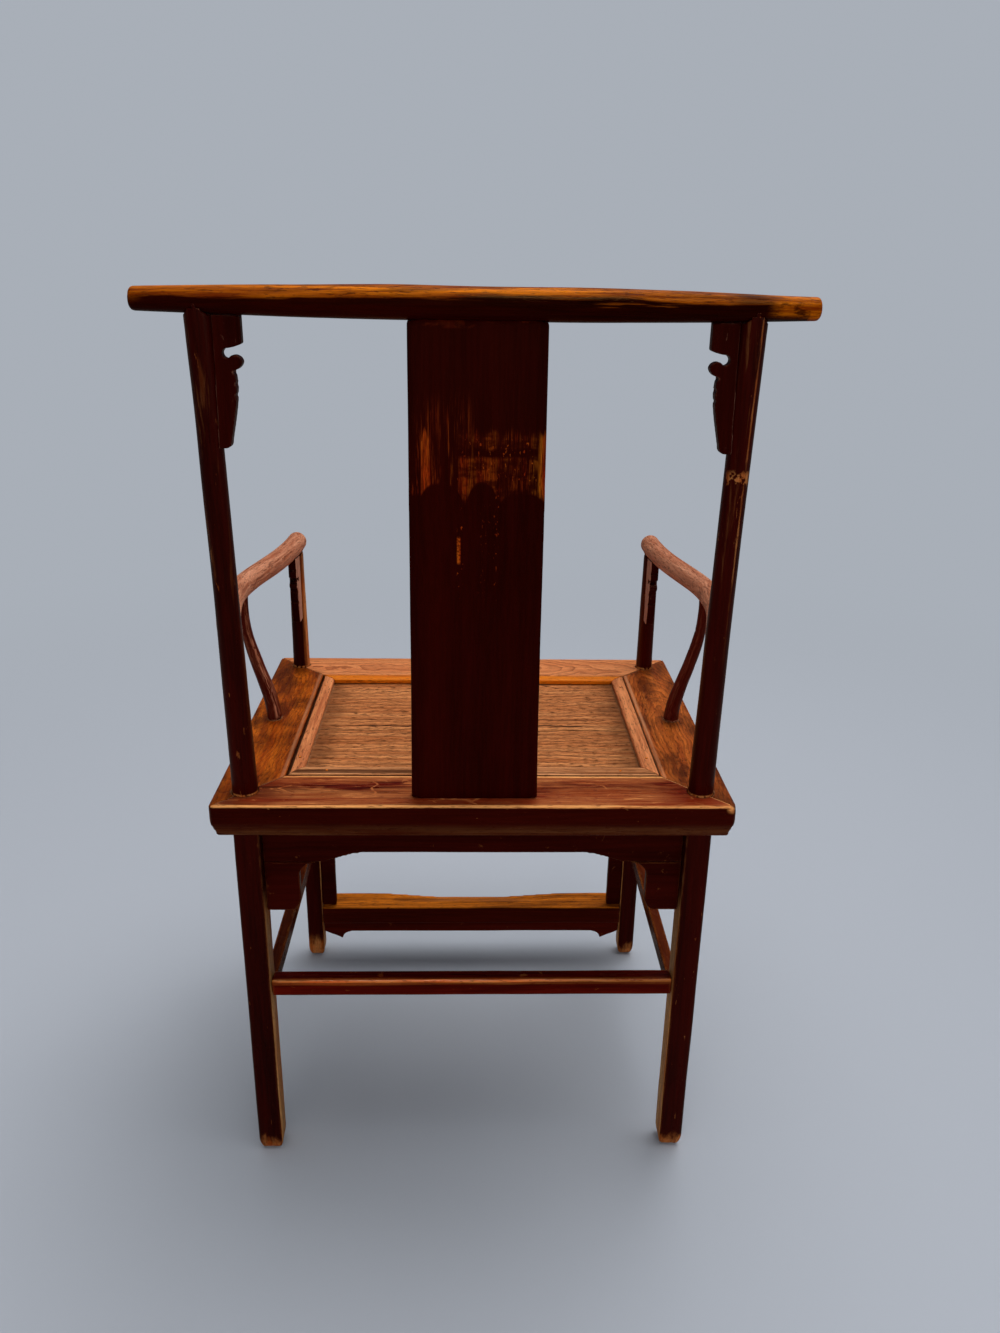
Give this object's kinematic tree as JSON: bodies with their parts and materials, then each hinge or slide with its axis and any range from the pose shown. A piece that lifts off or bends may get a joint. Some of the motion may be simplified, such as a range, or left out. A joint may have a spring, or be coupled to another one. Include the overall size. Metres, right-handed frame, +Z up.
{
  "type": "armchair",
  "caption": "Tall wooden official's hat armchair with a slender straight crest rail, plain back splat, swept arms on struts, framed panel seat, carved brackets and a footrest.",
  "frame": {"origin": "on the floor, under the middle of the seat frame", "axes": "+Z up, the sitter faces -Y, +X is the sitter's left hand"},
  "size_m": [0.631, 0.46, 1.025],
  "materials": {
    "crest_lacquer": "dark red-brown lacquer, worn to golden wood along the top",
    "splat_lacquer": "dark oxblood lacquer with a worn golden band",
    "arm_wood": "dry, pale brown bare wood",
    "strut_wood": "red-brown lacquer over bare wood",
    "carved_wood": "dark oxblood lacquer, pale where worn",
    "post_wood": "dark red-brown lacquer with worn arrises",
    "rear_rail_wood": "red-brown lacquer, worn on the top arris",
    "seat_rail_wood": "orange-brown waxed wood with a bold grain",
    "panel_wood": "weathered brown wood, ribbed along the grain",
    "batten_wood": "unfinished brown wood",
    "bamboo_pin": "bamboo end grain",
    "bead_wood": "brown wood, worn golden at the front",
    "wood_peg": "end grain under lacquer",
    "apron_lacquer": "dark red-brown lacquer",
    "stretcher_wood": "dark red-brown lacquer with golden worn arrises",
    "footrest_wood": "bare golden wood on top, dark lacquer on the edges"
  },
  "bodies": {
    "root": {"apron_front": "apron_lacquer", "apron_front_strip_left": "apron_lacquer", "apron_front_strip_right": "apron_lacquer", "apron_rear": "apron_lacquer", "apron_rear_head_left": "apron_lacquer", "apron_rear_head_right": "apron_lacquer", "apron_side_head_front_left": "apron_lacquer", "apron_side_head_front_right": "apron_lacquer", "apron_side_head_rear_left": "apron_lacquer", "apron_side_head_rear_right": "apron_lacquer", "apron_side_left": "apron_lacquer", "apron_side_right": "apron_lacquer", "arm_bracket_left": "carved_wood", "arm_bracket_right": "carved_wood", "arm_left": "arm_wood", "arm_pegs": "wood_peg", "arm_right": "arm_wood", "arm_strut_left": "strut_wood", "arm_strut_right": "strut_wood", "back_splat": "splat_lacquer", "crest_bracket_left": "carved_wood", "crest_bracket_right": "carved_wood", "crest_rail": "crest_lacquer", "crest_rail_pegs": "wood_peg", "footrest": "footrest_wood", "footrest_apron": "apron_lacquer", "front_post_left": "post_wood", "front_post_right": "post_wood", "rear_post_left": "post_wood", "rear_post_right": "post_wood", "seat_batten_left": "batten_wood", "seat_batten_right": "batten_wood", "seat_bead_front": "bead_wood", "seat_bead_left": "bead_wood", "seat_bead_pins": "bamboo_pin", "seat_bead_rear": "bead_wood", "seat_bead_right": "bead_wood", "seat_panel": "panel_wood", "seat_rail_front": "seat_rail_wood", "seat_rail_left": "seat_rail_wood", "seat_rail_rear": "rear_rail_wood", "seat_rail_right": "seat_rail_wood", "stretcher_rear": "stretcher_wood", "stretcher_side_left": "stretcher_wood", "stretcher_side_right": "stretcher_wood"}
  },
  "joints": []
}
